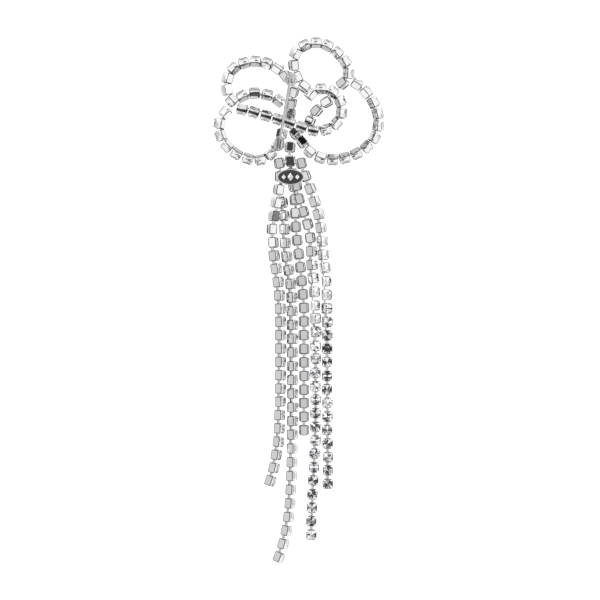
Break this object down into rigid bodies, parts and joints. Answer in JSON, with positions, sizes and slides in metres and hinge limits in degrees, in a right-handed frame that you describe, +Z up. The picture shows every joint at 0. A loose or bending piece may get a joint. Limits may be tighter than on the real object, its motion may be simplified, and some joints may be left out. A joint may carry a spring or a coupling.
{
  "type": "brooch",
  "caption": "Bow brooch of rhinestone cup chain with a hanging fringe of chain strands, an oval plaque and a hinged pin with a safety catch.",
  "frame": {"origin": "on the pin stem's axis, halfway between its hinge and its catch", "axes": "+Z up as worn, +Y out of the front, towards the viewer of a worn brooch, +X to the right as seen from the back"},
  "size_m": [0.0482, 0.0103, 0.1477],
  "materials": {
    "plated_metal": "bright rhodium-like plating",
    "crystal": "clear faceted crystal",
    "pin_steel": "drawn wire, lightly polished",
    "plaque_metal": "polished, plated",
    "plaque_enamel": "glossy black enamel"
  },
  "bodies": {
    "bow": {"catch_housing": "plated_metal", "centre_column_chain": "plated_metal", "centre_column_stones": "crystal", "crossing_loop_chain": "plated_metal", "crossing_loop_stones": "crystal", "fringe_head_chain": "plated_metal", "fringe_head_stones": "crystal", "hinge_housing": "plated_metal", "hinge_rivet": "pin_steel", "inner_row_chain": "plated_metal", "inner_row_stones": "crystal", "lower_left_loop_chain": "plated_metal", "lower_left_loop_stones": "crystal", "middle_left_loop_chain": "plated_metal", "middle_left_loop_stones": "crystal", "plaque_dish": "plaque_metal", "plaque_enamel": "plaque_enamel", "plaque_motif": "plaque_metal", "right_loop_chain": "plated_metal", "right_loop_stones": "crystal", "solder_posts": "plated_metal", "top_loop_chain": "plated_metal", "top_loop_stones": "crystal", "upper_left_loop_chain": "plated_metal", "upper_left_loop_stones": "crystal"},
    "pin_stem": {"pin_stem": "pin_steel"},
    "safety_sleeve": {"safety_sleeve": "plated_metal"},
    "strand_1_upper": {"strand_1_upper_chain": "plated_metal", "strand_1_upper_stones": "crystal"},
    "strand_1_middle": {"strand_1_middle_chain": "plated_metal", "strand_1_middle_stones": "crystal"},
    "strand_1_lower": {"strand_1_lower_chain": "plated_metal", "strand_1_lower_stones": "crystal"},
    "strand_2_upper": {"strand_2_upper_chain": "plated_metal", "strand_2_upper_stones": "crystal"},
    "strand_2_middle": {"strand_2_middle_chain": "plated_metal", "strand_2_middle_stones": "crystal"},
    "strand_2_lower": {"strand_2_lower_chain": "plated_metal", "strand_2_lower_stones": "crystal"},
    "strand_3_upper": {"strand_3_upper_chain": "plated_metal", "strand_3_upper_stones": "crystal"},
    "strand_3_middle": {"strand_3_middle_chain": "plated_metal", "strand_3_middle_stones": "crystal"},
    "strand_3_lower": {"strand_3_lower_chain": "plated_metal", "strand_3_lower_stones": "crystal"},
    "strand_4_upper": {"strand_4_upper_chain": "plated_metal", "strand_4_upper_stones": "crystal"},
    "strand_4_middle": {"strand_4_middle_chain": "plated_metal", "strand_4_middle_stones": "crystal"},
    "strand_4_lower": {"strand_4_lower_chain": "plated_metal", "strand_4_lower_stones": "crystal"},
    "strand_5_upper": {"strand_5_upper_chain": "plated_metal", "strand_5_upper_stones": "crystal"},
    "strand_5_middle": {"strand_5_middle_chain": "plated_metal", "strand_5_middle_stones": "crystal"},
    "strand_5_lower": {"strand_5_lower_chain": "plated_metal", "strand_5_lower_stones": "crystal"}
  },
  "joints": [
    {"name": "pin_hinge", "type": "hinge", "parent": "bow", "child": "pin_stem", "pos_m": [0.0016, 0, 0.0091], "axis": [-0.9849, 0, 0.1732], "range_deg": [0, 95]},
    {"name": "sleeve_turn", "type": "hinge", "parent": "bow", "child": "safety_sleeve", "pos_m": [-0.0016, 0, -0.0091], "axis": [0.1732, 0, 0.9849], "range_deg": [0, 90]},
    {"name": "strand_1_upper_swing", "type": "hinge", "parent": "bow", "child": "strand_1_upper", "pos_m": [-0.00365, 0.00276, -0.03536], "axis": [1, 0, 0], "range_deg": [-25, 25]},
    {"name": "strand_1_middle_swing", "type": "hinge", "parent": "strand_1_upper", "child": "strand_1_middle", "pos_m": [-0.00169, 0.00284, -0.05759], "axis": [1, 0, 0], "range_deg": [-25, 25]},
    {"name": "strand_1_lower_swing", "type": "hinge", "parent": "strand_1_middle", "child": "strand_1_lower", "pos_m": [-0.00176, 0.00284, -0.07995], "axis": [1, 0, 0], "range_deg": [-25, 25]},
    {"name": "strand_2_upper_swing", "type": "hinge", "parent": "bow", "child": "strand_2_upper", "pos_m": [-0.00052, 0.00466, -0.0316], "axis": [1, 0, 0], "range_deg": [-25, 25]},
    {"name": "strand_2_middle_swing", "type": "hinge", "parent": "strand_2_upper", "child": "strand_2_middle", "pos_m": [0.00163, 0.00444, -0.06233], "axis": [1, 0, 0], "range_deg": [-25, 25]},
    {"name": "strand_2_lower_swing", "type": "hinge", "parent": "strand_2_middle", "child": "strand_2_lower", "pos_m": [0.0016, 0.00444, -0.09313], "axis": [1, 0, 0], "range_deg": [-25, 25]},
    {"name": "strand_3_upper_swing", "type": "hinge", "parent": "bow", "child": "strand_3_upper", "pos_m": [0.00326, 0.00533, -0.03468], "axis": [1, 0, 0], "range_deg": [-25, 25]},
    {"name": "strand_3_middle_swing", "type": "hinge", "parent": "strand_3_upper", "child": "strand_3_middle", "pos_m": [0.00519, 0.00515, -0.0537], "axis": [1, 0, 0], "range_deg": [-25, 25]},
    {"name": "strand_3_lower_swing", "type": "hinge", "parent": "strand_3_middle", "child": "strand_3_lower", "pos_m": [0.0053, 0.00515, -0.0728], "axis": [1, 0, 0], "range_deg": [-25, 25]},
    {"name": "strand_4_upper_swing", "type": "hinge", "parent": "bow", "child": "strand_4_upper", "pos_m": [0.00696, 0.00283, -0.03787], "axis": [1, 0, 0], "range_deg": [-25, 25]},
    {"name": "strand_4_middle_swing", "type": "hinge", "parent": "strand_4_upper", "child": "strand_4_middle", "pos_m": [0.00856, 0.00445, -0.06427], "axis": [1, 0, 0], "range_deg": [-25, 25]},
    {"name": "strand_4_lower_swing", "type": "hinge", "parent": "strand_4_middle", "child": "strand_4_lower", "pos_m": [0.00843, 0.00445, -0.09073], "axis": [1, 0, 0], "range_deg": [-25, 25]},
    {"name": "strand_5_upper_swing", "type": "hinge", "parent": "bow", "child": "strand_5_upper", "pos_m": [0.0097, 0.003, -0.03504], "axis": [1, 0, 0], "range_deg": [-25, 25]},
    {"name": "strand_5_middle_swing", "type": "hinge", "parent": "strand_5_upper", "child": "strand_5_middle", "pos_m": [0.01148, 0.00439, -0.0576], "axis": [1, 0, 0], "range_deg": [-25, 25]},
    {"name": "strand_5_lower_swing", "type": "hinge", "parent": "strand_5_middle", "child": "strand_5_lower", "pos_m": [0.01181, 0.00445, -0.08029], "axis": [1, 0, 0], "range_deg": [-25, 25]}
  ]
}
